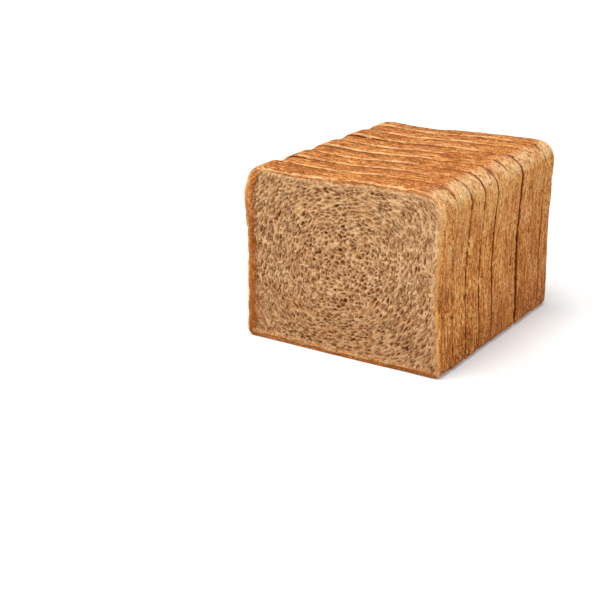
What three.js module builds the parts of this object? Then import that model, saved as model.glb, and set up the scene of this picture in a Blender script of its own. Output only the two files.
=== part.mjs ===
// A tin loaf of wholemeal bread, cut by a slicing machine. Nine slices still stand together as a block.
//
// Millimetres. X runs across the loaf, +Y runs from the bare cut face at the front to the crusty heel at
// the back, and +Z is up. The origin is under the middle of the block, on the surface that it stands on.

import * as THREE from 'three';

// The block: nine equal slices, cut square to the loaf.
const sliceCount = 9;
const sliceThickness = 14.5;
const loafWidth = 119;
const loafHeight = 98;

// What sets one slice apart from the next, from the front slice to the heel. A gap is the seam behind a
// slice, and the sixth has opened. A slip is sideways. A swell and a sag are at the left shoulder, where
// the crust of one slice stands out further than its neighbour's.
const seamGaps = [0.4, 0.4, 0.5, 0.4, 0.4, 1.3, 0.4, 0.4];
const sideSlips = [-0.4, 0, 0.2, 0, 0.3, 0.1, 0.5, 0.2, 0.4];
const leftSwells = [2.2, 0.3, 1.4, 0.4, 1.3, 0.2, 1.1, 0.3, 0.8];
const leftSags = [0, 1.6, 0.5, 1.5, 0.4, 1.4, 0.2, 1.3, 0.3];

// The tin's section: full round shoulders, nearly square feet, and sides that draw in towards the foot.
// The right shoulder is squarer towards the heel.
const shoulderRadius = 14;
const heelRightShoulder = 11;
const footRadius = 4;
const footDrawIn = 0.9;

// The walls cave in as the loaf cools, most at the bare front end. The right wall caves in more.
const rightWaistAtFront = 2.4;
const rightWaistAtBack = 0.8;
const leftWaist = 1.2;

// The left wall stands out past the tin's section up to its shoulder, between these shares of the height.
const leftFullness = 2.4;
const fullnessFades = [0.82, 0.9];

// Moves the block sideways, so that its middle is over the origin.
const blockShift = 1.3;

// The top crust has a shallow dip, left of the middle.
const topDip = 1.4;
const dipCentre = -0.3;
const dipHalfWidth = 0.6;

// The heel's back edges are rounded by the tin's end wall, the foot edge less than the others.
const heelRounding = 4.5;
const heelFootShare = 0.35;
const heelSteps = 6;

// Points on each round or settled stretch of the outline.
const pointsPerStretch = 12;

const crustColour = 0xa9713c;
const heelColour = 0x9c622f;
const breadRoughness = 0.9;

const { clamp, lerp, smoothstep } = THREE.MathUtils;

// The walls and the top are curves, though the tin is straight, so that they have points to settle.
function tinSection(index) {
  const rightRadius = lerp(shoulderRadius, heelRightShoulder, index / (sliceCount - 1));
  const side = loafWidth / 2;
  const quarter = Math.PI / 2;
  const shoulderStart = loafHeight - shoulderRadius;
  const section = new THREE.Shape();
  section.moveTo(-side + footRadius, 0);
  section.lineTo(side - footRadius, 0);
  section.absarc(side - footRadius, footRadius, footRadius, -quarter, 0);
  section.quadraticCurveTo(side, loafHeight / 2, side, loafHeight - rightRadius);
  section.absarc(side - rightRadius, loafHeight - rightRadius, rightRadius, 0, quarter);
  section.quadraticCurveTo(0, loafHeight, -side + shoulderRadius, loafHeight);
  section.absarc(-side + shoulderRadius, shoulderStart, shoulderRadius, quarter, 2 * quarter);
  section.quadraticCurveTo(-side, loafHeight / 2, -side, footRadius);
  section.absarc(-side + footRadius, footRadius, footRadius, 2 * quarter, 3 * quarter);
  return section;
}

// Moves a point of the tin's section to where the bread of this slice has settled.
function settle(point, index) {
  const across = point.x / (loafWidth / 2);
  const up = point.y / loafHeight;
  const isLeft = across < 0;
  const rightWaist = lerp(rightWaistAtFront, rightWaistAtBack, index / (sliceCount - 1));
  const caveIn = (isLeft ? leftWaist : rightWaist) * Math.sin(Math.PI * up) ** 2;
  const drawIn = footDrawIn * (1 - up);
  const swell = isLeft ? leftSwells[index] * up ** 6 : 0;
  const fullness = isLeft ? leftFullness * (1 - smoothstep(up, ...fullnessFades)) : 0;
  const sag = isLeft ? leftSags[index] * up ** 6 * across ** 2 : 0;
  const towardsDip = clamp(1 - Math.abs(across - dipCentre) / dipHalfWidth, 0, 1);
  const dip = topDip * Math.sin(towardsDip * Math.PI / 2) ** 2 * up ** 6;
  return new THREE.Vector2(point.x - across * (caveIn + drawIn - swell - fullness), point.y - sag - dip);
}

// A slice stands with its back face at y = 0 and its front face towards -Y.
function sliceGeometry(index, steps) {
  const ring = tinSection(index).getPoints(pointsPerStretch);
  const outline = new THREE.Shape(ring.map((point) => settle(point, index)));
  const slice = new THREE.ExtrudeGeometry(outline, { depth: sliceThickness, steps, bevelEnabled: false });
  return slice.rotateX(Math.PI / 2);
}

// Draws the back edges of a slice in along a quarter circle.
function roundBackEdges(slice) {
  const position = slice.attributes.position;
  for (let index = 0; index < position.count; index += 1) {
    const depthFromBack = clamp(-position.getY(index), 0, heelRounding);
    const reach = 1 - depthFromBack / heelRounding;
    const inset = heelRounding * (1 - Math.sqrt(1 - reach ** 2));
    const up = position.getZ(index) / loafHeight;
    position.setX(index, position.getX(index) * (1 - inset / (loafWidth / 2)));
    position.setZ(index, position.getZ(index) - inset * up + inset * heelFootShare * (1 - up));
  }
  return slice;
}

function makeSlice(index) {
  const isHeel = index === sliceCount - 1;
  const material = new THREE.MeshStandardMaterial({
    color: isHeel ? heelColour : crustColour,
    roughness: breadRoughness,
    metalness: 0,
  });
  const geometry = isHeel ? roundBackEdges(sliceGeometry(index, heelSteps)) : sliceGeometry(index, 1);
  const slice = new THREE.Mesh(geometry, material);
  slice.name = isHeel ? 'heel_slice' : `slice_${index + 1}`;
  return slice;
}

const block = new THREE.Group();
const blockLength = seamGaps.reduce((length, gap) => length + gap, sliceCount * sliceThickness);
let front = -blockLength / 2;

for (let index = 0; index < sliceCount; index += 1) {
  const slice = makeSlice(index);
  slice.position.set(blockShift + sideSlips[index], front + sliceThickness, 0);
  block.add(slice);
  front += sliceThickness + (seamGaps[index] ?? 0);
}

export default block;
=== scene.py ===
"""The looks of a sliced tin loaf: open crumb on the cut face, baked crust round it, and a white studio."""
import itertools
import math

import bpy
import numpy as np
from mathutils import Euler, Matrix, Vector


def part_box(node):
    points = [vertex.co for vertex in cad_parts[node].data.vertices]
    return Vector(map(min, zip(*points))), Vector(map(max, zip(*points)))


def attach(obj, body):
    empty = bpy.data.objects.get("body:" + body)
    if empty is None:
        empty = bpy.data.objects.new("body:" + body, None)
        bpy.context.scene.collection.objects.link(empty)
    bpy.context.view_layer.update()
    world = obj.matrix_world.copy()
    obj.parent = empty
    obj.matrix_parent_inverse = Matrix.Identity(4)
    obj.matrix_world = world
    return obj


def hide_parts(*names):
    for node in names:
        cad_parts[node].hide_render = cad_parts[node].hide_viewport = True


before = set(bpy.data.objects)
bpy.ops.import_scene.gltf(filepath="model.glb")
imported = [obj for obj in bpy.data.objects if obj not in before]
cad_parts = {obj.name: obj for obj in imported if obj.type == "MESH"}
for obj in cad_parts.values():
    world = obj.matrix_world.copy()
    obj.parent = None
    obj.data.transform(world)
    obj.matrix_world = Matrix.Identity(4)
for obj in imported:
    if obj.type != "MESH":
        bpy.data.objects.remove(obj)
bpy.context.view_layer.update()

# Shapes are worked out in millimetres, and become metres when a mesh is made.
MM = 0.001

# Mesh fineness: cells across and up a finely modelled cut face, and how many of them a hidden one joins
FACE_CELLS = (276, 228)
HIDDEN_JOINS = 4

# A hidden face's outermost points, as a share of its edge's size
HIDDEN_SHRINK = 0.97

# How many points look for their nearest edge at a time
NEAREST_BATCH = 4096

# Rows of points along the crust between a slice's cut edges, and on the arcs of the edges
CRUST_ROWS = 21
FRONT_CRUST_ROWS = 15
HEEL_CRUST_ROWS = 6
FRONT_ARC_ROWS = 6
BACK_ARC_ROWS = 5
HEEL_ARC_ROWS = 10

# A face's border: flat rings inside its rounded edge, this far in from it, and how far in the first one is
FACE_BAND = 1.0
BAND_RINGS = (FACE_BAND, 0.66, 0.33)

# The cut edges' roundings. Those at a seam grow from the closed one by the open one's share, and are
# larger at the foot by the notch.
FRONT_ROUNDING = 2.1
HEEL_ROUNDING = 4.5
HEEL_FOOT_SHARE = 0.35
CLOSED_ROUNDING = 0.2
OPEN_ROUNDING = 0.75
FOOT_NOTCH = 1.3

# How far each side of a closed seam moves towards the other
HALF_GAP_CLOSED = 0.17

# How far from the cut a slice's outline is drawn to its neighbour's at a closed seam
MEETING_REACH = 4

# The lid and the shoulder change over to the right wall between these places across
RIGHT_SIDE = (20, 48)

# How plainly each seam shows on the right wall, as (height, strength) pairs from the floor up
# A seam's strength also sets how much shade is painted into its groove
RIGHT_SEAMS = [
    [(0, 0.10), (14, 0.35), (30, 0.30), (40, 0.05), (78, 0.10), (90, 0.40)],
    [(0, 0.98), (98, 0.98)],
    [(0, 1.25), (45, 1.25), (55, 0.60), (72, 0.30), (80, 1.45), (98, 1.45)],
    [(0, 0.92), (98, 0.92)],
    [(0, 0.12), (60, 0.05), (85, 0.30)],
    [(0, 1.00), (98, 1.00)],
    [(0, 0.10), (40, 0.15), (46, 0.65), (74, 0.65), (80, 0.25), (98, 0.60)],
    [(0, 0.40), (10, 0.65), (60, 0.65), (70, 0.20), (98, 0.50)],
]

# The swirl that the crumb is drawn out round: a squarish ring, and the slant that it all leans to
SWIRL_CENTRE = np.array([2.0, 50.0])
SWIRL_HALF = np.array([55.0, 53.0])
SWIRL_SQUARENESS = 2.6
SWIRL_LEAN = math.radians(52)
LEAN_SHARE = 0.34
ROPE_TURN = math.radians(18)

# Pores: the grid that they are strewn on, how many of its cells away one can matter, and a distance
# that stands for none at all
PORE_GRID = 1.3
PORE_REACH = 3
NO_PORE = 9.0

# The loaf's largest pores, as (across, up, radius), and how deep they are
BIG_PORE_DEPTH = 1.9
BIG_PORES = [
    (8, 62, 1.9), (-2, 43.5, 2.2), (-16, 40.5, 1.9), (-12, 32, 1.8), (-33, 76, 1.6), (-19, 85.5, 1.6),
    (-13, 89, 1.5), (-1, 88.5, 1.3), (40, 13, 1.4), (55, 5.5, 1.5), (-18, 46.5, 1.6), (21, 36, 1.4),
    (-13, 55.5, 1.5), (-23, 64.5, 1.4), (13, 53.5, 1.5), (2, 29.5, 1.4), (-48, 60, 1.4), (-47, 31, 1.4),
    (15, 41, 1.3), (28, 31, 1.3), (-40, 70, 1.3), (2, 78, 1.3), (11, 74, 1.2), (-52, 92, 1.5),
    (-5, 63, 1.4), (6, 57.5, 1.3), (-9, 67, 1.2), (0, 59, 1.1),
]

# The baked skin's relief: how far its swells, grooves and pits go
CRUST_SWELL = 0.35
CRUST_GROOVE = 0.22
CRUST_PIT = 0.5

# Seeds that keep the noises of the skin and the seams apart. Each slice's own begin at its share.
SWELL_SEED = 300
GROOVE_SEED = 310
PIT_SEED = 320
PATCH_SEED = 330
ROSY_SEED = 340
OWN_TONE_SEED = 350
SEAM_SEED = 400
WAVER_SEED = 410
SLICE_SEEDS = 1000
BACK_FACE_SEEDS = 500

# Keeps one seam's noise apart from the next one's, in millimetres
SEAM_SPACING = 50.0

# The numbers that the lattice's hash mixes points with, and a shift between a fractal's octaves
HASH_PRIMES = (73856093, 19349663, 83492791, 2654435761)
HASH_FACTOR = 0x45D9F3B
HASH_LARGEST = 0xFFFFFFFF
OCTAVE_SHIFT = 17.3

# Where the ring of a slice's outline reaches the lid, from its start, and how far to the right that is
LID_START = 119 + 95
LID_RIGHT = 60

# Camera: its direction, roll, lens and sensor in millimetres, and in metres how far it is from its aim
CAMERA_AZIMUTH = math.radians(33.81)
CAMERA_ELEVATION = math.radians(20.15)
CAMERA_ROLL = math.radians(-0.54)
CAMERA_LENS = 75.0
SENSOR_WIDTH = 36
CAMERA_DISTANCE = 0.7166
CAMERA_AIM = Vector((-0.0499, -0.0297, 0.0105))

# Studio: a soft lamp from above, as wide as this many degrees, a pale sky that is brightest at the
# horizon, and a white floor
SKY_STRENGTH = 0.2
SKY_BAND = (0.06, 0.4)
SUN_POWER = 4.4
SUN_WIDTH = 45
SUN_FROM = (-0.12, -0.26, 1.0)
FLOOR_HALF = 6.0
FLOOR_WHITE = 0.62
FLOOR_GLOW = 0.22
FLOOR_ROUGHNESS = 0.9
FLOOR_SHINE = 0.1

# The bread's finish: its bump, whose depth is in metres, its roughness from least to most, and its gloss
BUMP_STRENGTH = 0.6
BUMP_DEPTH = 0.0008
BREAD_ROUGHNESS = (0.78, 0.95)
BREAD_SHINE = 0.08


# ---------------------------------------------------------------- numbers

def smooth(low, high, value):
    """0 below low, 1 above high, and a smooth step between them."""
    t = np.clip((value - low) / (high - low), 0, 1)
    return t * t * (3 - 2 * t)


def lattice(ix, iy, iz, seed):
    """A fixed random number from 0 to 1 for each whole-number point."""
    first, second, third, last = HASH_PRIMES
    mixed = (ix * first) ^ (iy * second) ^ (iz * third) ^ (seed * last)
    mixed = (mixed ^ (mixed >> 16)) & HASH_LARGEST
    for _ in range(2):
        mixed = (mixed * HASH_FACTOR) & HASH_LARGEST
        mixed = mixed ^ (mixed >> 16)
    return mixed / HASH_LARGEST


def flat(places):
    """Places on a plane as points in space."""
    return np.column_stack([places, np.zeros(len(places))])


def noise(points, size, seed):
    """Smooth noise from -1 to 1, with lumps of the given size on each axis."""
    place = points / np.asarray(size, float)
    base = np.floor(place).astype(np.int64)
    part = place - base
    part = part * part * (3 - 2 * part)
    total = np.zeros(len(points))
    for corner in itertools.product((0, 1), repeat=3):
        weight = np.prod(np.where(corner, part, 1 - part), axis=1)
        total += weight * lattice(*(base + corner).T, seed)
    return 2 * total - 1


def fractal(points, size, seed, octaves=3):
    """Noise summed over octaves, each half the size and strength of the last."""
    total = np.zeros(len(points))
    for octave in range(octaves):
        finer = np.asarray(size, float) / 2**octave
        total += noise(points + OCTAVE_SHIFT * octave, finer, seed + octave) / 2**octave
    return total / (2 - 2.0 ** (1 - octaves))


# ---------------------------------------------------------------- outlines

def cad_outline(node):
    """The ring of the node's front face, as (x, z) in millimetres, anticlockwise seen from the front."""
    points = np.array([v.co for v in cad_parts[node].data.vertices]) / MM
    ring = np.unique(points[points[:, 1] < points[:, 1].min() + 0.01][:, [0, 2]].round(4), axis=0)
    middle = (ring.min(0) + ring.max(0)) / 2
    turn = np.arctan2(ring[:, 1] - middle[1], ring[:, 0] - middle[0])
    return ring[np.argsort(turn)]


def along(points, count):
    """Points at even steps on a smooth curve through an open line of points, without its last one."""
    step = np.linalg.norm(np.diff(points, axis=0), axis=1)
    length = np.concatenate(([0], np.cumsum(step)))
    slope = np.gradient(points, length, axis=0)
    at = np.linspace(0, length[-1], count + 1)[:-1]
    left = np.clip(np.searchsorted(length, at, side="right") - 1, 0, len(points) - 2)
    span = (length[left + 1] - length[left])[:, None]
    t = (at - length[left])[:, None] / span
    return ((1 + 2 * t) * (1 - t) ** 2 * points[left] + t * (1 - t) ** 2 * span * slope[left]
            + t * t * (3 - 2 * t) * points[left + 1] - t * t * (1 - t) * span * slope[left + 1])


def smooth_ring(outline):
    """The outline as an even ring: along the foot, up the right wall, back over the lid, down the left."""
    across, up = FACE_CELLS
    signs = [(-1, -1), (1, -1), (1, 1), (-1, 1)]
    corners = [int(np.argmax(outline @ np.array(sign))) for sign in signs]
    sides = []
    for start, end, count in zip(corners, corners[1:] + corners[:1], (across, up, across, up)):
        picked = np.arange(start, end + 1 + (len(outline) if end < start else 0)) % len(outline)
        sides.append(along(outline[picked], count))
    return np.concatenate(sides)


def ring_normals(ring):
    """The outward direction at each point of a ring."""
    tangent = np.roll(ring, -1, axis=0) - np.roll(ring, 1, axis=0)
    normal = np.stack([tangent[:, 1], -tangent[:, 0]], axis=1)
    return normal / np.linalg.norm(normal, axis=1)[:, None]


def ring_lengths(ring):
    """How far along the ring each of its points is."""
    return np.concatenate(([0], np.cumsum(np.linalg.norm(np.diff(ring, axis=0), axis=1))))


def coons(ring, cells):
    """Fills a ring with a grid of points, (up + 1, across + 1, n)."""
    across, up = cells
    ring = np.concatenate([ring, ring[:1]])
    foot = ring[:across + 1]
    right = ring[across:across + up + 1]
    top = ring[across + up:2 * across + up + 1][::-1]
    left = ring[2 * across + up:][::-1]
    u = np.linspace(0, 1, across + 1)[None, :, None]
    v = np.linspace(0, 1, up + 1)[:, None, None]
    ruled = (1 - v) * foot[None] + v * top[None] + (1 - u) * left[:, None] + u * right[:, None]
    corners = ((1 - u) * (1 - v) * foot[0] + u * (1 - v) * foot[-1]
               + (1 - u) * v * top[0] + u * v * top[-1])
    return ruled - corners


# ---------------------------------------------------------------- crumb

def swirl(places):
    """The way in which the crumb is drawn out at each (x, z), and how much longer than wide it is there."""
    away = (places - SWIRL_CENTRE) / SWIRL_HALF
    power = SWIRL_SQUARENESS
    reach = (np.abs(away) ** power).sum(1) ** (1 / power)
    outward = np.sign(away) * np.abs(away) ** (power - 1) / SWIRL_HALF + 1e-9
    outward /= np.linalg.norm(outward, axis=1)[:, None]
    twice = 2 * np.arctan2(outward[:, 0], -outward[:, 1])
    share = LEAN_SHARE * (0.4 + 0.6 * smooth(-45, -10, places[:, 0]))
    leaned = np.arctan2(np.sin(twice) + share * math.sin(2 * SWIRL_LEAN),
                        np.cos(twice) + share * math.cos(2 * SWIRL_LEAN)) / 2
    drawn = np.stack([np.cos(leaned), np.sin(leaned)], axis=1)
    upright = smooth(0.5, 0.9, np.abs(drawn[:, 1]))
    return drawn, 1.1 + (0.4 + 0.75 * upright) * smooth(0.25, 0.7, reach)


def pores(places, seed):
    """Irregular cells drawn out along the swirl: each place's distance from its cell's wall and from its
    middle, and the cell's luck."""
    points = flat(places)
    warped = places + 0.22 * np.column_stack([noise(points, 1.7, seed + 1), noise(points, 1.7, seed + 2)])
    warped += 0.8 * np.column_stack([noise(points, 7, seed + 3), noise(points, 7, seed + 4)])
    drawn, stretch = swirl(places)
    across = np.stack([drawn[:, 1], -drawn[:, 0]], axis=1)
    base = np.floor(warped / PORE_GRID).astype(np.int64)
    nearest = np.full(len(places), NO_PORE)
    second = np.full(len(places), NO_PORE)
    chance = np.zeros((len(places), 3))
    steps = range(-PORE_REACH, PORE_REACH + 1)
    for dx, dz in itertools.product(steps, steps):
        ix = base[:, 0] + dx
        iz = base[:, 1] + dz
        luck = [lattice(ix, iz, k, seed) for k in range(6)]
        centre = np.stack([ix + luck[0], iz + luck[1]], axis=1) * PORE_GRID
        apart = (warped - centre) / PORE_GRID
        distance = np.hypot((apart * drawn).sum(1) / stretch, (apart * across).sum(1) * stretch)
        crowding = (np.abs((centre - SWIRL_CENTRE) / SWIRL_HALF) ** 4).sum(1)
        present = luck[2] < 0.24 + 0.12 * np.clip(crowding, 0, 1)
        distance = np.where(present, distance - 0.25 * luck[3] ** 2, NO_PORE)
        closer = distance < nearest
        second = np.where(closer, nearest, np.minimum(second, distance))
        nearest = np.where(closer, distance, nearest)
        for k in range(3):
            chance[:, k] = np.where(closer, luck[k + 3], chance[:, k])
    return PORE_GRID * (second - nearest) / 2, PORE_GRID * nearest, chance


def crumb_ropes(places, upright, seed):
    """Noise from -1 to 1, in leaning ropes where the crumb stands upright and in level ones elsewhere."""
    turned = np.column_stack([places[:, 0] * math.cos(ROPE_TURN) - places[:, 1] * math.sin(ROPE_TURN),
                              places[:, 0] * math.sin(ROPE_TURN) + places[:, 1] * math.cos(ROPE_TURN)])
    standing = fractal(flat(turned), (1.5, 5.0, 1), seed, 2)
    lying = fractal(flat(places), (3.2, 1.5, 1), seed + 5, 2)
    return upright * standing + (1 - upright) * lying


def crumb_depths(places, edge_distance, seed):
    """How deep the crumb lies under the cut plane in millimetres, and its painted shade, strands and tints.
    """
    points = flat(places)
    wall, middle, chance = pores(places, seed)
    low_down = smooth(42, 12, places[:, 1])
    painted_light_near_lid = smooth(60, 88, places[:, 1])
    leftward = smooth(-10, -40, places[:, 0])
    bowl = 1 - (1 - np.clip(wall / 0.75, 0, 1)) ** 1.6
    pit = smooth(1.35, 0.35, middle + 0.3 * noise(points, 0.9, seed + 5)) * smooth(0.05, 0.4, wall)
    patch = 0.5 + 0.5 * fractal(points, 9, seed + 20)
    calm = (0.45 + 0.55 * smooth(0.5, 7.0, edge_distance)) * (1 - 0.2 * low_down)
    usual = 0.28 + 0.36 * chance[:, 1]
    deep = smooth(0.75, 1.0, chance[:, 2]) * smooth(2, 6, edge_distance)
    depth = (0.45 * bowl + pit * (usual + 0.3 * patch + 0.8 * deep)) * calm
    # Painted shade in the cells and their pits, more in deep pits and in pits towards the left
    pit_shade = 0.08 + 0.12 * leftward + 0.28 * chance[:, 1] * (0.5 + patch) + 0.35 * deep
    painted_shade = (0.20 * bowl + pit * pit_shade) * (1 - 0.3 * low_down)
    # The largest pores are sunk deep and get painted shade inside
    for across, up, radius in BIG_PORES:
        away = np.hypot(places[:, 0] - across, (places[:, 1] - up) * 1.1)
        away += 0.3 * noise(points, 1.1, seed + 8)
        hollow = smooth(radius + 0.35, radius * 0.45, away)
        depth = np.maximum(depth, BIG_PORE_DEPTH * hollow)
        painted_shade = np.maximum(painted_shade, 0.85 * hollow)
    drawn = swirl(places)[0]
    upright = smooth(0.4, 0.75, np.abs(drawn[:, 1]))
    ropes = crumb_ropes(places, upright, seed + 60)
    thread = smooth(0.11, 0.02, np.abs(ropes))
    depth += (0.25 * smooth(0.0, 0.6, ropes) - 0.12 * thread) * calm
    grain = 0.12 * (1 + fractal(points, 0.9, seed + 30, 2))
    depth += grain + 0.2 * (1 + fractal(points, 16, seed + 40, 2))
    # More painted shade low down on the face, and painted light near the lid
    painted_shade += 0.05 + 0.14 * smooth(0.1, 0.6, ropes) + 0.12 * low_down - 0.32 * painted_light_near_lid
    # Pale strands on the cell walls and threads, partly their own colour and partly a painted highlight on
    # their lit edges, dimmer low down
    ridge = smooth(0.34, 0.04, wall) * (0.35 + 0.65 * smooth(-0.5, 0.5, noise(points, 2.3, seed + 50)))
    ridge = np.maximum(ridge, 0.95 * thread) * (1 - 0.4 * low_down)
    numbers = dict(pit=np.clip(painted_shade, -0.25, 1), strand_highlight=ridge, tint=chance[:, 0], upright=upright)
    return depth * smooth(0.2, 2.6, edge_distance - FRONT_ROUNDING - FACE_BAND), numbers


# ---------------------------------------------------------------- crust

def crust_height(lengths, depths, points):
    """How far the baked skin stands out from the tin's smooth wall, in millimetres."""
    skin = flat(np.column_stack([lengths, depths]))
    swells = CRUST_SWELL * fractal(points, 17, SWELL_SEED, 2)
    grooves = CRUST_GROOVE * fractal(skin, (4.5, 1.3, 1), GROOVE_SEED, 2)
    pits = -CRUST_PIT * smooth(0.35, 0.7, noise(skin, (3.0, 1.2, 1), PIT_SEED))
    return swells + grooves + pits


def crust_tones(points, on_top, from_back, seed):
    """How much darker than usual the crust is, with painted shade at the foot, and where it is redder."""
    height = points[:, 2]
    own = 0.06 * float(lattice(seed, 1, 2, OWN_TONE_SEED)) + 0.01
    wall = 0.12 * smooth(30, 0, height) - 0.12 * smooth(45, 90, height)
    lid = 0.12 * smooth(8, 1.5, from_back) - 0.01 - 0.04 * smooth(10, 45, points[:, 0])
    patches = 0.13 * fractal(points, (14, 9, 20), PATCH_SEED, 3)
    # Painted shade where the crust meets the floor
    foot_shade = 0.14 * smooth(5, 0, height)
    reddish = smooth(0.0, 0.55, fractal(points, (22, 16, 26), ROSY_SEED, 3))
    reddish += 0.45 * smooth(-25, 35, points[:, 1])
    return dict(tone_and_shade=own + foot_shade + wall * (1 - on_top) + lid * on_top + patches,
                rosy=np.clip(reddish, 0, 1) * (0.85 - 0.5 * on_top) * smooth(96, 70, height))


def seam_strength(seam, ring, lengths):
    """How plainly a seam shows at each point of the ring: about 0 is closed, 1 is open, and more gapes."""
    if seam < 0 or seam >= len(RIGHT_SEAMS):
        return np.ones(len(ring))
    heights, strengths = np.array(RIGHT_SEAMS[seam]).T
    right = np.interp(ring[:, 1], heights, strengths)
    line = flat(np.column_stack([lengths, np.full(len(ring), SEAM_SPACING * seam)]))
    elsewhere = 0.7 + 0.4 * noise(line, 13, SEAM_SEED)
    share = smooth(*RIGHT_SIDE, ring[:, 0])
    mixed = right * share + elsewhere * (1 - share)
    return np.clip(mixed + 0.22 * fractal(line, 6, WAVER_SEED, 3), 0.08, 1.5)


# ---------------------------------------------------------------- meshes

def make_mesh(name, points, groups, numbers):
    """A mesh from points in millimetres, groups of faces with their map places, and point attributes."""
    mesh = bpy.data.meshes.new(name)
    mesh.vertices.add(len(points))
    mesh.vertices.foreach_set("co", (points * MM).astype(np.float32).ravel())
    corners = np.concatenate([ids.ravel() for ids, _ in groups])
    sizes = np.concatenate([np.full(len(ids), ids.shape[1]) for ids, _ in groups])
    mesh.loops.add(len(corners))
    mesh.loops.foreach_set("vertex_index", corners.astype(np.int32))
    mesh.polygons.add(len(sizes))
    mesh.polygons.foreach_set("loop_start", (np.cumsum(sizes) - sizes).astype(np.int32))
    mesh.update(calc_edges=True)
    layer = mesh.uv_layers.new(name="OFBake")
    places = np.concatenate([uv.reshape(-1, 2) for _, uv in groups])
    layer.uv.foreach_set("vector", places.astype(np.float32).ravel())
    for label, values in numbers.items():
        kind, field = ("FLOAT", "value") if values.ndim == 1 else ("FLOAT_VECTOR", "vector")
        attribute = mesh.attributes.new(label, kind, "POINT")
        attribute.data.foreach_set(field, values.astype(np.float32).ravel())
    mesh.shade_smooth()
    piece = bpy.data.objects.new(name, mesh)
    bpy.context.scene.collection.objects.link(piece)
    return piece


class Skin:
    """Gathers a slice's points, faces and attributes."""

    def __init__(self):
        self.points = np.zeros((0, 3))
        self.numbers = {}
        self.groups = []

    def add_points(self, points, **numbers):
        start = len(self.points)
        self.points = np.concatenate([self.points, points])
        for label, values in numbers.items():
            held = self.numbers.get(label)
            self.numbers[label] = values if held is None else np.concatenate([held, values])
        return np.arange(start, start + len(points))

    def add_faces(self, ids, uv):
        self.groups.append((ids, uv))


# Map layout: a cut face that shows lies lower left, hidden ones lie small beside it, and above them
# comes the strip of crust that runs round the slice, cut into rows with some spare length.
MAP_SCALE = 6.2 / 1024
HIDDEN_SCALE = 0.3
STRIP_ROWS = 4
STRIP_SPARE = 0.6
MAP_EDGE = 0.006
FACE_CORNER = np.array([-61.0, -0.5])
MAP_CORNERS = {"shown": (MAP_EDGE, MAP_EDGE), 1: (0.752, MAP_EDGE), -1: (0.752, 0.2)}
STRIP_FOOT = {"shown": 0.625, "hidden": 0.4}


def face_uv(places, facing, kind):
    """Map places for a cut face, from its (x, z)."""
    from_corner = (places - FACE_CORNER) * MAP_SCALE
    if kind == "hidden":
        return np.array(MAP_CORNERS[facing]) + from_corner * HIDDEN_SCALE
    return np.array(MAP_CORNERS["shown"]) + from_corner


def strip_quads(ids, lengths, across, foot):
    """Faces between rows of a ring, and their map places, with the ring's length cut into STRIP_ROWS."""
    rows, count = ids.shape
    turn = np.arange(count)
    after = (turn + 1) % count
    fore = ids[:-1]
    aft = ids[1:]
    quads = np.stack([fore[:, turn], aft[:, turn], aft[:, after], fore[:, after]], axis=-1)
    total = lengths[-1] * count / (count - 1)
    ends = np.append(lengths[1:], total)
    start = np.stack([lengths, lengths, ends, ends], axis=-1)
    share = total / STRIP_ROWS + STRIP_SPARE
    row = np.floor(lengths / share)
    u = MAP_EDGE + (start - (row * share)[:, None]) * (1 - 2 * MAP_EDGE) / share
    height = (1 - MAP_EDGE - foot) / STRIP_ROWS
    v = np.stack([across[:-1], across[1:], across[1:], across[:-1]], axis=-1)
    v = v * (height - MAP_EDGE) / across[-1]
    uv = np.stack(np.broadcast_arrays(u[None], v[:, None] + foot + (row * height)[None, :, None]), axis=-1)
    return quads.reshape(-1, 4), uv.reshape(-1, 4, 2)


def edge_rows(radius, steps):
    """Rows of one cut edge, from its face outwards: inset, depth past the face, and path past its edge."""
    flush = np.zeros(len(radius))
    rows = [(radius + band, flush, flush - band) for band in BAND_RINGS]
    for angle in np.linspace(0, math.pi / 2, steps):
        rows.append((radius * (1 - math.sin(angle)), radius * (1 - math.cos(angle)), radius * angle))
    return rows


def shared_ring(rings, seam, strength):
    """How far to move a slice's ring to meet its neighbour's, where the seam between them is closed."""
    if seam < 0 or seam >= len(rings) - 1:
        return np.zeros((len(strength), 2))
    share = np.clip(1 - strength, 0, 1) * smooth(*RIGHT_SIDE, rings[seam][:, 0])
    return share[:, None] * (rings[seam + 1] - rings[seam]) / 2


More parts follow.
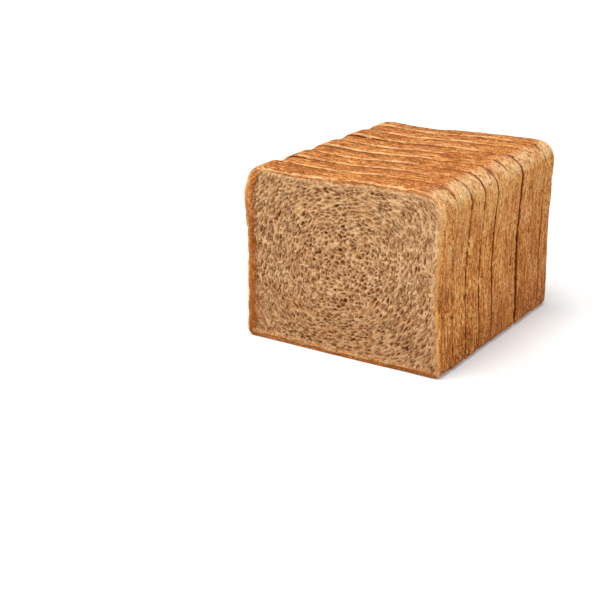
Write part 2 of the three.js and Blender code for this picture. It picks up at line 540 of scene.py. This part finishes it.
class Slice:
    """What a slice is before its surface is made: its outline, its ends, its seams and its cut edges."""

    def __init__(self, index, rings, boxes):
        ring = rings[index]
        self.ring = ring
        self.count = len(ring)
        self.is_front = index == 0
        self.is_heel = index == len(rings) - 1
        self.seed = SLICE_SEEDS * (index + 1)
        self.low, self.high = boxes[index]
        self.normals = ring_normals(ring)
        self.lengths = ring_lengths(ring)
        self.line = np.column_stack([self.lengths, np.full(self.count, self.low), np.zeros(self.count)])
        self.front_strength = seam_strength(index - 1, ring, self.lengths)
        self.back_strength = seam_strength(index, ring, self.lengths)
        self.near_front = shared_ring(rings, index - 1, self.front_strength)
        self.near_back = shared_ring(rings, index, self.back_strength)
        self.fore = self.low - HALF_GAP_CLOSED * np.clip(1 - self.front_strength, 0, 1)
        self.aft = self.high + HALF_GAP_CLOSED * np.clip(1 - self.back_strength, 0, 1)
        self.front_round = self.front_rounding()
        self.back_round = self.back_rounding()
        self.on_top = smooth(0.3, 0.9, self.normals[:, 1])
        self.on_right = smooth(0.6, 0.95, self.normals[:, 0])
        self.shoulder = smooth(0.1, 0.5, self.normals[:, 1]) * smooth(0.0, 0.6, self.normals[:, 0])
        self.rind = self.rind_width()

    def seam_rounding(self, strength):
        notch = FOOT_NOTCH * smooth(7, 0, self.ring[:, 1])
        return CLOSED_ROUNDING + OPEN_ROUNDING * strength + notch * np.minimum(strength, 1)

    def front_rounding(self):
        """How round the front edge is. The bare face's is uneven, but not at the foot's corners."""
        if not self.is_front:
            return self.seam_rounding(self.front_strength)
        sideways = np.abs(self.ring[:, 0] - self.ring[:, 0].mean())
        at_foot_corner = smooth(14, 3, self.ring[:, 1]) * smooth(44, 57, sideways)
        uneven = 0.22 * noise(self.line, 6, self.seed + 50) * (1 - at_foot_corner)
        return FRONT_ROUNDING * (1 + uneven - 0.4 * at_foot_corner)

    def back_rounding(self):
        if self.is_heel:
            return np.full(self.count, HEEL_ROUNDING)
        return self.seam_rounding(self.back_strength)

    def rind_width(self):
        """How wide the baked rim shows on a cut face, in millimetres."""
        line = flat(np.column_stack([self.lengths, np.zeros(self.count)]))
        wide = -0.8 + 3.9 * smooth(0.2, 0.9, -self.normals[:, 0])
        wide += 1.6 * smooth(0.2, 0.9, -self.normals[:, 1]) + 0.9 * smooth(0.2, 0.9, self.normals[:, 1])
        ragged = 0.5 * fractal(line, 5, self.seed + 70, 3) * (1 + 0.3 * wide)
        return wide + ragged + 0.25 * noise(line, 1.3, self.seed + 80)

    def heel_pull(self):
        """The way in which the heel's back edges are drawn in: from the middle, and less at the foot."""
        half = (self.ring.max(0) - self.ring.min(0)) / 2
        centre = (self.ring.max(0) + self.ring.min(0)) / 2
        low_share = HEEL_FOOT_SHARE + (1 - HEEL_FOOT_SHARE) * smooth(0, 25, self.ring[:, 1])
        foot = np.where(self.ring[:, 1] < centre[1], low_share, 1.0)
        return (self.ring - centre) / half * np.stack([np.ones(self.count), foot], axis=1)

    def rows(self):
        """Rows of points from face to face: inset, depth, and path past the front or the back edge."""
        crust_rows = CRUST_ROWS
        back_arc_rows = BACK_ARC_ROWS
        if self.is_front:
            crust_rows = FRONT_CRUST_ROWS
        if self.is_heel:
            crust_rows = HEEL_CRUST_ROWS
            back_arc_rows = HEEL_ARC_ROWS
        front_rows = edge_rows(self.front_round, FRONT_ARC_ROWS)
        back_rows = edge_rows(self.back_round, back_arc_rows)
        rows = [(inset, self.fore + depth, past, None) for inset, depth, past in front_rows]
        start = self.fore + self.front_round
        end = self.aft - self.back_round
        for part in np.linspace(0, 1, crust_rows + 2)[1:-1]:
            rows.append((np.zeros(self.count), start + (end - start) * part, None, None))
        rows += [(inset, self.aft - depth, None, past) for inset, depth, past in back_rows[::-1]]
        return rows

    def row_points(self, inset, depth, past_front, past_back):
        """One row's points and their attributes."""
        from_front = depth - self.fore if past_front is None else past_front
        from_back = self.aft - depth if past_back is None else past_back
        on_heel_back = self.is_heel and past_back is not None
        run = depth
        if past_front is not None:
            run = self.fore + past_front - self.front_round * (math.pi / 2 - 1)
        if past_back is not None:
            run = self.aft - past_back + self.back_round * (math.pi / 2 - 1)
        place = self.ring + self.near_front * smooth(MEETING_REACH, 0, from_front)[:, None]
        place = place + self.near_back * smooth(MEETING_REACH, 0, from_back)[:, None]
        place = place - (self.heel_pull() if on_heel_back else self.normals) * inset[:, None]
        points = np.column_stack([place[:, 0], depth, place[:, 1]])
        past = from_front if self.is_heel else np.minimum(from_front, from_back)
        crust = smooth(-0.3, 0.8, past)
        points[:, [0, 2]] += self.normals * (crust_height(self.lengths, run, points) * crust)[:, None]
        points[:, 2] = np.maximum(points[:, 2], 0)

        kept = smooth(-FACE_BAND, 0.5 * HEEL_ROUNDING, from_back) if on_heel_back else 1.0
        on_lid = self.on_top * kept
        numbers = self.rim_numbers(run, past, from_front)
        if self.is_front:
            numbers.update(crumb_depths(place, inset, self.seed)[1])
        # Painted shade in the grooves between the slices
        numbers["seam"] = self.seam_shade(from_front, from_back)
        numbers["flour"] = self.shoulder * kept
        numbers["top"] = on_lid
        numbers["grain"] = np.column_stack([self.lengths, run, np.zeros(self.count)])
        numbers["fold"] = smooth(-0.3, -FACE_BAND, np.minimum(from_front, from_back))
        numbers.update(crust_tones(points, on_lid, from_back, self.seed))
        return points, numbers

    def seam_shade(self, from_front, from_back):
        """How dark the shade painted into the groove beside a seam is."""
        reach = 1.2 + 2.0 * np.clip(self.front_strength - 1, 0, 1) - 0.6 * self.on_top
        near_edge = self.front_strength * smooth(reach, 0.1 * reach, from_front) * (not self.is_front)
        near_end = self.back_strength * smooth(1.2, 0.1, from_back) * (not self.is_heel)
        # Dashes on the lid before a slice's back edge: painted shadow in the gap to the next slice
        dashes = smooth(0.0, 0.5, noise(self.line, 12, self.seed + 99)) * smooth(3.0, 1.6, from_back)
        near_end = np.maximum(near_end, 0.7 * self.on_top * dashes)
        return np.clip(np.maximum(near_edge, near_end), 0, 1)

    def rim_numbers(self, run, past, from_front):
        """Where the crust is baked, its rim on the bare face, and the pale edges that the knife left."""
        zero = np.zeros(self.count)
        numbers = dict(amber=zero, pit=zero, strand_highlight=zero, tint=zero + 0.5, upright=zero, rind=zero)
        numbers.update(baked=zero + 1, near=zero + 1)
        spot = flat(np.column_stack([self.lengths, run]))
        ragged = 0.5 * fractal(spot, (3, 1, 1), self.seed + 90, 2)
        if self.is_front:
            start = rim_start(self.lengths)
            width = start + 1.5 + 0.7 * fractal(self.line, 9, self.seed + 95, 3)
            pale = self.on_top * smooth(width, width - 0.9, from_front + ragged)
            pale *= smooth(start - 0.5, start + 0.4, past + ragged)
            pale *= 0.85 + 0.3 * noise(self.line, 2.4, self.seed + 97)
            numbers["amber"] = self.on_right * smooth(3.4, 1.4, from_front + ragged)
            numbers["baked"] = smooth(-self.rind - 1.2, -self.rind + 0.9, past)
            numbers["rind"] = smooth(0.3, -0.6, past - start * self.on_top)
            numbers["near"] = beside_rind(-past, self.rind)
        else:
            sideways = lid_place(self.lengths)
            leftness = smooth(60, -40, sideways)
            width = 2.1 + 0.9 * leftness + 1.1 * fractal(self.line, 15, self.seed + 95, 2)
            ends = smooth(*RIGHT_SIDE, sideways + 16 * noise(self.line, 30, self.seed + 96))
            pale = self.on_top * (1 - ends) * (0.75 + 0.35 * noise(self.line, 6, self.seed + 98))
            pale *= smooth(width + 0.6, width - 1.5, from_front + ragged)
            pale *= smooth(0.15, 0.5, from_front)
        numbers["pale"] = np.clip(pale, 0, 1)
        return numbers


def lid_place(lengths):
    """A stand-in for how far to the right a ring's point on the lid is, from its place along the ring."""
    return LID_RIGHT - (lengths - LID_START)


def rim_start(lengths):
    """How far past the cut the bare face's pale rim begins on the lid: further on the right."""
    return 0.1 + 0.9 * smooth(-45, 0, lid_place(lengths))


def beside_rind(inside, rind):
    """How brown the crumb is just inside a wide rim."""
    return smooth(4.0, 0.0, inside - rind) * smooth(1.2, 2.6, rind)


def slice_skin(index, rings, boxes):
    """One slice's whole surface, with the crumb's pores on the face that shows."""
    own = Slice(index, rings, boxes)
    skin = Skin()
    ids = []
    across = []
    travelled = 0.0
    last = None
    for row in own.rows():
        points, numbers = own.row_points(*row)
        ids.append(skin.add_points(points, **numbers))
        middle = np.array([row[0].mean(), row[1].mean()])
        if last is not None:
            travelled += np.linalg.norm(middle - last)
        across.append(travelled)
        last = middle
    strip_foot = STRIP_FOOT["shown" if own.is_front or own.is_heel else "hidden"]
    skin.add_faces(*strip_quads(np.array(ids), own.lengths, np.array(across), strip_foot))
    add_face(skin, own, ids[0], 1, "open" if own.is_front else "hidden")
    add_face(skin, own, ids[-1], -1, "heel" if own.is_heel else "hidden")
    return skin


def add_face(skin, own, edge_ids, facing, kind):
    """Fills one end of a slice. facing is 1 for the front and -1 for the back."""
    depth = own.low if facing > 0 else own.high
    cells = FACE_CELLS
    joined = edge_ids
    if kind == "hidden":
        cells = tuple(n // HIDDEN_JOINS for n in FACE_CELLS)
        inner = skin.points[edge_ids[::HIDDEN_JOINS]].copy()
        centre = inner.mean(0)
        inner = centre + (inner - centre) * HIDDEN_SHRINK
        inner[:, 1] = depth
        joined = add_face_points(skin, own, inner, np.ones(len(inner)), facing, kind)
        add_join(skin, edge_ids, joined, facing)
    across, up = cells
    grid = coons(skin.points[joined], cells)
    inner = grid[1:-1, 1:-1].reshape(-1, 3)
    inner[:, 1] = depth
    up_steps, across_steps = np.indices((up - 1, across - 1)) + 1
    steps = np.minimum.reduce([up_steps, across_steps, up - up_steps, across - across_steps])
    added = add_face_points(skin, own, inner, smooth(4, 1, steps.ravel()), facing, kind)
    table = np.zeros((up + 1, across + 1), np.int64)
    table[1:-1, 1:-1] = added.reshape(up - 1, across - 1)
    table[0, :] = joined[:across + 1]
    table[:, -1] = joined[across:across + up + 1]
    table[-1, ::-1] = joined[across + up:2 * across + up + 1]
    table[::-1, 0] = np.append(joined[2 * across + up:], joined[0])
    quads = np.stack([table[:-1, :-1], table[:-1, 1:], table[1:, 1:], table[1:, :-1]], axis=-1)
    quads = quads.reshape(-1, 4)
    if facing < 0:
        quads = quads[:, ::-1]
    places = skin.points[:, [0, 2]][quads]
    skin.add_faces(quads, face_uv(places, facing, kind))


def add_face_points(skin, own, points, fold, facing, kind):
    """Adds points of a cut face, sunk into its pores, or of the heel's back. fold is 1 at its border."""
    seed = own.seed if facing > 0 else own.seed + BACK_FACE_SEEDS
    places = points[:, [0, 2]]
    edge, nearest = nearest_edge(places, own.ring)
    inside = edge - FRONT_ROUNDING
    rind = own.rind[nearest]
    zero = np.zeros(len(points))
    numbers = dict(top=zero, seam=zero, flour=zero, amber=zero, pale=zero, pit=zero, strand_highlight=zero)
    numbers.update(upright=zero, tint=zero + 0.5, rind=zero + (kind == "open"), fold=fold)
    numbers["near"] = beside_rind(inside, rind)
    numbers["grain"] = np.column_stack([places, points[:, 1]])
    numbers.update(crust_tones(points, zero, zero + 9, seed))
    numbers["baked"] = smooth(rind + 1.2, rind - 0.9, inside)
    if kind == "heel":
        points[:, 1] += crust_height(places[:, 0], places[:, 1], points)
        numbers["baked"] = zero + 1
    if kind == "open":
        sunk, found = crumb_depths(places, edge, seed)
        points[:, 1] += facing * np.maximum(sunk, 0)
        numbers.update(found)
    return skin.add_points(points, **numbers)


def add_join(skin, fine, coarse, facing):
    """Triangles between a fine ring and one with a point for every HIDDEN_JOINS of its own."""
    after = np.roll(coarse, -1)
    start = np.arange(len(coarse)) * HIDDEN_JOINS
    step = [fine[(start + k) % len(fine)] for k in range(HIDDEN_JOINS + 1)]
    turns = [(step[0], step[1], coarse), (step[1], step[2], coarse), (coarse, step[2], after),
             (step[2], step[3], after), (step[3], step[4], after)]
    triangles = np.concatenate([np.stack(turn, axis=-1) for turn in turns])
    if facing < 0:
        triangles = triangles[:, ::-1]
    places = skin.points[:, [0, 2]][triangles]
    skin.add_faces(triangles, face_uv(places, facing, "hidden"))


def nearest_edge(places, ring):
    """How far each place on a face is from the outline, and which of the ring's points is nearest."""
    found = np.zeros(len(places))
    nearest = np.zeros(len(places), np.int64)
    sparse = ring[::2].astype(np.float32)
    for start in range(0, len(places), NEAREST_BATCH):
        batch = slice(start, start + NEAREST_BATCH)
        apart = ((places[batch].astype(np.float32)[:, None] - sparse[None]) ** 2).sum(-1)
        nearest[batch] = 2 * apart.argmin(1)
        found[batch] = np.sqrt(apart.min(1))
    return found, nearest


# ---------------------------------------------------------------- materials

class Nodes:
    """Short names for making and joining shader nodes."""

    def __init__(self, owner):
        owner.use_nodes = True
        self.tree = owner.node_tree
        self.tree.nodes.clear()

    def add(self, kind, inputs=None, **settings):
        node = self.tree.nodes.new(kind)
        for label, value in settings.items():
            setattr(node, label, value)
        for label, value in (inputs or {}).items():
            if isinstance(value, bpy.types.NodeSocket):
                self.tree.links.new(value, node.inputs[label])
            else:
                node.inputs[label].default_value = value
        return node

    def attribute(self, label, output="Fac"):
        return self.add("ShaderNodeAttribute", attribute_name=label).outputs[output]

    def math(self, operation, first, second=0.0, third=0.0, clamp=False):
        return self.add("ShaderNodeMath", {0: first, 1: second, 2: third}, operation=operation,
                        use_clamp=clamp).outputs[0]

    def ramp(self, value, *stops):
        node = self.add("ShaderNodeValToRGB", {"Fac": value})
        elements = node.color_ramp.elements
        while len(elements) < len(stops):
            elements.new(0.5)
        for element, (place, colour) in zip(elements, stops):
            element.position = place
            element.color = (*colour, 1)
        return node.outputs["Color"]

    def mix(self, share, first, second):
        node = self.add("ShaderNodeMix", data_type="RGBA", clamp_factor=True)
        for label, value in (("Factor_Float", share), ("A_Color", first), ("B_Color", second)):
            socket = next(s for s in node.inputs if s.identifier == label)
            if isinstance(value, bpy.types.NodeSocket):
                self.tree.links.new(value, socket)
            else:
                socket.default_value = (*value, 1)
        return next(s for s in node.outputs if s.identifier == "Result_Color")

    def scaled(self, vector, scale):
        return self.add("ShaderNodeVectorMath", {0: vector, 1: scale}, operation="MULTIPLY").outputs[0]

    def noise(self, vector, scale, detail, roughness):
        inputs = {"Vector": vector, "Scale": scale, "Detail": detail, "Roughness": roughness}
        return self.add("ShaderNodeTexNoise", inputs).outputs["Fac"]

    def stretched(self, vector, scales, scale, detail, roughness):
        """Noise whose lumps are drawn out, by other scales along and across the vector."""
        return self.noise(self.scaled(vector, (*scales, 1.0)), scale, detail, roughness)

    def ridge(self, value, width, strength):
        """Lines where a noise crosses one half."""
        off_line = self.math("ABSOLUTE", self.math("SUBTRACT", value, 0.5))
        return self.spread(off_line, 0.0, width, strength, 0.0)

    def weighed(self, *parts):
        """One half, plus each part's distance from one half times its weight."""
        total = 0.5
        for value, weight in parts:
            total = self.math("MULTIPLY_ADD", value, weight, self.math("SUBTRACT", total, weight / 2))
        return total

    def spread(self, value, low, high, start=0.0, end=1.0):
        """start below low, end above high, and a smooth step between them."""
        inputs = {"Value": value, "From Min": low, "From Max": high, "To Min": start, "To Max": end}
        return self.add("ShaderNodeMapRange", inputs, interpolation_type="SMOOTHSTEP").outputs["Result"]

    def principled(self, colour, roughness, shine, **others):
        inputs = {"Base Color": colour, "Roughness": roughness, "Specular IOR Level": shine}
        inputs.update({label.replace("_", " "): value for label, value in others.items()})
        return self.add("ShaderNodeBsdfPrincipled", inputs).outputs[0]


def srgb(red, green, blue):
    """A colour given as 0 to 255 screen values, as the linear numbers that a shader takes."""
    shares = [level / 255 for level in (red, green, blue)]
    return tuple(c / 12.92 if c <= 0.04045 else ((c + 0.055) / 1.055) ** 2.4 for c in shares)


# The crumb, from its palest to the painted shade deep in its pores
CRUMB_PALE = srgb(178, 124, 74)
CRUMB_LIGHT = srgb(156, 101, 54)
CRUMB_MIDDLE = srgb(134, 77, 32)
CRUMB_DARK = srgb(120, 64, 20)
CRUMB_DEEP = srgb(100, 44, 7)
# Pale strands, partly a painted highlight on their lit edges
STRAND_HIGHLIGHT = srgb(244, 202, 152)
ROSY_PATCH = srgb(172, 116, 74)
WARM_CELL = srgb(186, 122, 62)
SIDE_DARK = srgb(146, 78, 20)
SIDE_BROWN = srgb(202, 120, 48)
SIDE_TAN = srgb(232, 156, 78)
SIDE_PALE = srgb(248, 196, 126)
LID_DARK = srgb(130, 64, 16)
LID_BROWN = srgb(174, 98, 42)
LID_TAN = srgb(202, 128, 62)
LID_PALE = srgb(226, 162, 96)
FLOUR = srgb(238, 194, 140)
FRECKLE = srgb(232, 192, 142)
FLECK = srgb(112, 54, 8)
AMBER = srgb(226, 166, 98)
RIND = srgb(170, 102, 56)
CREAM = srgb(232, 186, 130)
# The painted shade in the grooves between the slices
GROOVE_SHADE = srgb(116, 54, 8)
ROSY_CRUST = srgb(190, 112, 62)
NEAR_RIND = srgb(156, 88, 48)


# What a slice's points say of the bread there: each from 0 to 1, but pit and tone_and_shade can be
# negative.
# pit is the crumb's painted shade, negative where painted light is; seam is the painted shade in the
# grooves;
# tone_and_shade is the crust's tone with painted shade at the foot. Beside these, grain is a point's place
# in millimetres along and across the skin, or on the cut face.
MARKS = ("baked", "pit", "strand_highlight", "tint", "top", "pale", "seam", "flour", "rind", "amber", "near",
         "upright", "tone_and_shade", "rosy", "fold")


def crumb_nodes(n, mark, grain, broad):
    """The crumb's colour and relief: pale strands round pores with painted shade, with warmer and rosier
    patches.
    """
    leaning = n.add("ShaderNodeMapping", {"Vector": grain, "Rotation": (0, 0, ROPE_TURN)}).outputs[0]
    tall = n.stretched(leaning, (0.95, 0.36), 1.0, 2, 0.55)
    level = n.stretched(grain, (0.42, 0.95), 1.0, 2, 0.55)
    weave = n.mix(mark["upright"], level, tall)
    fine_tall = n.stretched(leaning, (2.0, 0.55), 1.0, 3, 0.55)
    fine_level = n.stretched(grain, (0.9, 1.9), 1.0, 3, 0.6)
    threads = n.mix(mark["upright"], fine_level, fine_tall)
    specks = n.noise(grain, 2.6, 2, 0.6)

    texture = n.weighed((threads, 1.1), (broad, 0.35), (weave, 0.9))
    # Painted shade: the pit mark and the texture run the crumb from pale to the dark of its pores
    depth = n.math("ADD", n.math("SUBTRACT", mark["pit"], 0.42), texture, clamp=True)
    crumb = n.ramp(depth, (0.0, CRUMB_PALE), (0.25, CRUMB_LIGHT), (0.5, CRUMB_MIDDLE), (0.75, CRUMB_DARK),
                   (1.0, CRUMB_DEEP))
    crumb = n.mix(n.spread(mark["tint"], 0.7, 1.0, 0.0, 0.3), crumb, WARM_CELL)
    crumb = n.mix(n.spread(broad, 0.5, 0.7, 0.0, 0.35), crumb, ROSY_PATCH)

    # Pale strands and fibres, partly a painted highlight on their lit edges, kept off deep pores
    fibre = n.math("MAXIMUM", n.ridge(weave, 0.032, 0.9), n.ridge(threads, 0.03, 0.6))
    shallow = n.spread(mark["pit"], 0.3, 0.65, 0.8, 0.0)
    strands = n.math("MULTIPLY", mark["strand_highlight"], n.spread(specks, 0.35, 0.6, 0.4, 1.0))
    strands = n.math("MAXIMUM", strands, n.math("MULTIPLY", fibre, shallow))
    crumb = n.mix(strands, crumb, STRAND_HIGHLIGHT)
    browned = n.math("MULTIPLY", mark["near"], n.spread(threads, 0.38, 0.58, 0.95, 0.35))
    crumb = n.mix(browned, crumb, NEAR_RIND)
    return crumb, n.weighed((threads, 0.9), (strands, 0.4))


def lid_nodes(n, tone_and_shade, grain, bands, fine, blotches):
    """The lid's colour under its flour and flecks, and the streaks that it is mixed by."""
    streaks = n.stretched(grain, (0.24, 0.72), 1.0, 3, 0.7)
    flecks = n.stretched(grain, (0.3, 0.8), 1.0, 2, 0.5)
    blend = n.weighed((streaks, 1.45), (bands, 1.3), (fine, 0.6), (blotches, 0.6))
    blend = n.math("SUBTRACT", blend, tone_and_shade)
    lid = n.ramp(blend, (0.26, LID_DARK), (0.42, LID_BROWN), (0.56, LID_TAN), (0.78, LID_PALE))
    return n.mix(n.spread(flecks, 0.58, 0.68, 0.0, 0.6), lid, FLECK), streaks


def crust_nodes(n, mark, grain, broad, mottle, streaks):
    """The crust's colour and relief: short streaks drawn out round the loaf, flecks and pale grains."""
    # The crust's tone, painted shade at the foot included
    tone_and_shade = mark["tone_and_shade"]
    fine = n.noise(grain, 1.7, 3, 0.65)
    blotches = n.noise(grain, 0.08, 4, 0.6)
    bands = n.stretched(grain, (0.08, 0.55), 1.0, 3, 0.6)
    blend = n.weighed((streaks, 1.3), (bands, 1.2), (fine, 0.6), (blotches, 0.6))
    blend = n.math("SUBTRACT", blend, tone_and_shade)
    side = n.ramp(blend, (0.26, SIDE_DARK), (0.42, SIDE_BROWN), (0.55, SIDE_TAN), (0.75, SIDE_PALE))
    lid, lid_streaks = lid_nodes(n, tone_and_shade, grain, bands, fine, blotches)
    rosy = n.math("MULTIPLY", mark["rosy"], n.spread(mottle, 0.38, 0.6, 0.25, 0.7))
    crust = n.mix(rosy, n.mix(mark["top"], side, lid), ROSY_CRUST)
    powder = n.spread(n.math("ADD", lid_streaks, blotches), 0.8, 1.15, 0.15, 0.9)
    crust = n.mix(n.math("MULTIPLY", mark["flour"], powder), crust, FLOUR)

    freckles = n.stretched(grain, (0.9, 1.1), 1.35, 2, 0.6)
    flecks = n.stretched(grain, (0.5, 1.3), 1.15, 2, 0.5)
    dashes = n.stretched(grain, (0.3, 1.5), 1.25, 1, 0.5)
    pits = n.stretched(grain, (0.42, 0.75), 1.0, 1, 0.5)
    clusters = n.math("MULTIPLY_ADD", n.math("SUBTRACT", blotches, 0.5), 0.5, pits)
    crust = n.mix(n.spread(freckles, 0.54, 0.66, 0.0, 0.55), crust, FRECKLE)
    crust = n.mix(n.spread(flecks, 0.61, 0.67, 0.0, 0.8), crust, FLECK)
    crust = n.mix(n.spread(dashes, 0.62, 0.68, 0.0, 0.85), crust, FLECK)
    crust = n.mix(n.spread(clusters, 0.63, 0.72, 0.0, 0.9), crust, FLECK)

    amber = n.math("MULTIPLY", mark["amber"], n.spread(mottle, 0.46, 0.62, 0.85, 0.1))
    crust = n.mix(amber, crust, AMBER)
    patchy = n.spread(n.weighed((streaks, 1.2), (fine, 1.2), (blotches, 1.0)), 0.2, 0.75, 0.25, 1.0)
    pale = n.spread(n.math("MULTIPLY", mark["pale"], patchy), 0.05, 0.85, 0.0, 0.95)
    crust = n.mix(pale, crust, CREAM)
    # Painted shade in the grooves between the slices
    crust = n.mix(n.spread(mark["seam"], 0.0, 0.9, 0.0, 0.95), crust, GROOVE_SHADE)

    rind_blend = n.weighed((fine, 1.0), (mottle, 1.8), (broad, 0.6))
    # The rim takes the tone too, so painted shade darkens it at the foot
    rind_blend = n.math("ADD", rind_blend, n.math("MULTIPLY", tone_and_shade, 1.6))
    rind = n.ramp(rind_blend, (0.15, SIDE_TAN), (0.45, RIND), (0.8, SIDE_DARK))
    rind_share = n.math("MULTIPLY", mark["rind"], n.math("SUBTRACT", 1.0, mark["pale"]))
    return n.mix(rind_share, crust, rind), blend


def bread_material():
    material = bpy.data.materials.new("bread")
    n = Nodes(material)
    mark = {label: n.attribute(label) for label in MARKS}
    grain = n.attribute("grain", "Vector")
    broad = n.noise(grain, 0.1, 3, 0.6)
    mottle = n.noise(grain, 0.75, 3, 0.7)
    streaks = n.stretched(grain, (0.36, 1.0), 1.0, 4, 0.7)
    crumb, crumb_relief = crumb_nodes(n, mark, grain, broad)
    crust, crust_relief = crust_nodes(n, mark, grain, broad, mottle, streaks)

    ragged = n.math("ADD", mark["baked"], n.math("MULTIPLY", n.math("SUBTRACT", mottle, 0.5), 1.6))
    outside = n.spread(ragged, 0.15, 0.85)
    relief = n.mix(outside, crumb_relief, crust_relief)
    relief = n.mix(mark["fold"], relief, (0.5, 0.5, 0.5))
    bump = n.add("ShaderNodeBump", {"Height": relief, "Strength": BUMP_STRENGTH, "Distance": BUMP_DEPTH})
    roughness = n.spread(streaks, 0.3, 0.7, *BREAD_ROUGHNESS)
    colour = n.mix(outside, crumb, crust)
    shader = n.principled(colour, roughness, BREAD_SHINE, Normal=bump.outputs["Normal"])
    n.add("ShaderNodeOutputMaterial", {"Surface": shader})
    return material


# ---------------------------------------------------------------- studio

def make_floor():
    half = FLOOR_HALF
    mesh = bpy.data.meshes.new("floor")
    corners = [(-half, -half, 0), (half, -half, 0), (half, half, 0), (-half, half, 0)]
    mesh.from_pydata(corners, [], [(0, 1, 2, 3)])
    material = bpy.data.materials.new("studio_white")
    n = Nodes(material)
    shader = n.principled((FLOOR_WHITE, FLOOR_WHITE, FLOOR_WHITE, 1), FLOOR_ROUGHNESS, FLOOR_SHINE,
                          Emission_Color=(1, 1, 1, 1), Emission_Strength=FLOOR_GLOW)
    n.add("ShaderNodeOutputMaterial", {"Surface": shader})
    mesh.materials.append(material)
    floor = bpy.data.objects.new("floor", mesh)
    bpy.context.scene.collection.objects.link(floor)


def make_studio():
    make_floor()
    world = bpy.data.worlds.new("studio")
    n = Nodes(world)
    direction = n.add("ShaderNodeTexCoord").outputs["Generated"]
    height = n.add("ShaderNodeSeparateXYZ", {0: direction}).outputs["Z"]
    strength = n.spread(height, *SKY_BAND, 1.0, SKY_STRENGTH)
    sky = n.add("ShaderNodeBackground", {"Color": (1, 1, 1, 1), "Strength": strength})
    n.add("ShaderNodeOutputWorld", {"Surface": sky.outputs[0]})
    bpy.context.scene.world = world
    lamp = bpy.data.lights.new("softbox", "SUN")
    lamp.energy = SUN_POWER
    lamp.angle = math.radians(SUN_WIDTH)
    softbox = bpy.data.objects.new("softbox", lamp)
    softbox.rotation_euler = Vector(SUN_FROM).to_track_quat("Z", "Y").to_euler()
    bpy.context.scene.collection.objects.link(softbox)
    bpy.context.scene.view_settings.view_transform = "Standard"


def make_camera():
    camera = bpy.data.objects.new("camera", bpy.data.cameras.new("camera"))
    camera.data.lens = CAMERA_LENS
    camera.data.sensor_width = SENSOR_WIDTH
    back = Vector((math.sin(CAMERA_AZIMUTH) * math.cos(CAMERA_ELEVATION),
                   -math.cos(CAMERA_AZIMUTH) * math.cos(CAMERA_ELEVATION), math.sin(CAMERA_ELEVATION)))
    camera.location = CAMERA_AIM + back * CAMERA_DISTANCE
    facing = Euler((math.pi / 2 - CAMERA_ELEVATION, 0, CAMERA_AZIMUTH))
    camera.rotation_euler = (facing.to_matrix() @ Euler((0, 0, CAMERA_ROLL)).to_matrix()).to_euler()
    bpy.context.scene.collection.objects.link(camera)
    bpy.context.scene.camera = camera


# ---------------------------------------------------------------- making it all

make_studio()
make_camera()
bread = bread_material()
names = sorted(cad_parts, key=lambda name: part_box(name)[0].y)
rings = [smooth_ring(cad_outline(name)) for name in names]
boxes = [(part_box(name)[0].y / MM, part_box(name)[1].y / MM) for name in names]
for index, node in enumerate(names):
    skin = slice_skin(index, rings, boxes)
    piece = make_mesh("baked_" + node, skin.points, skin.groups, skin.numbers)
    piece.data.materials.append(bread)
    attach(piece, "root")
    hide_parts(node)
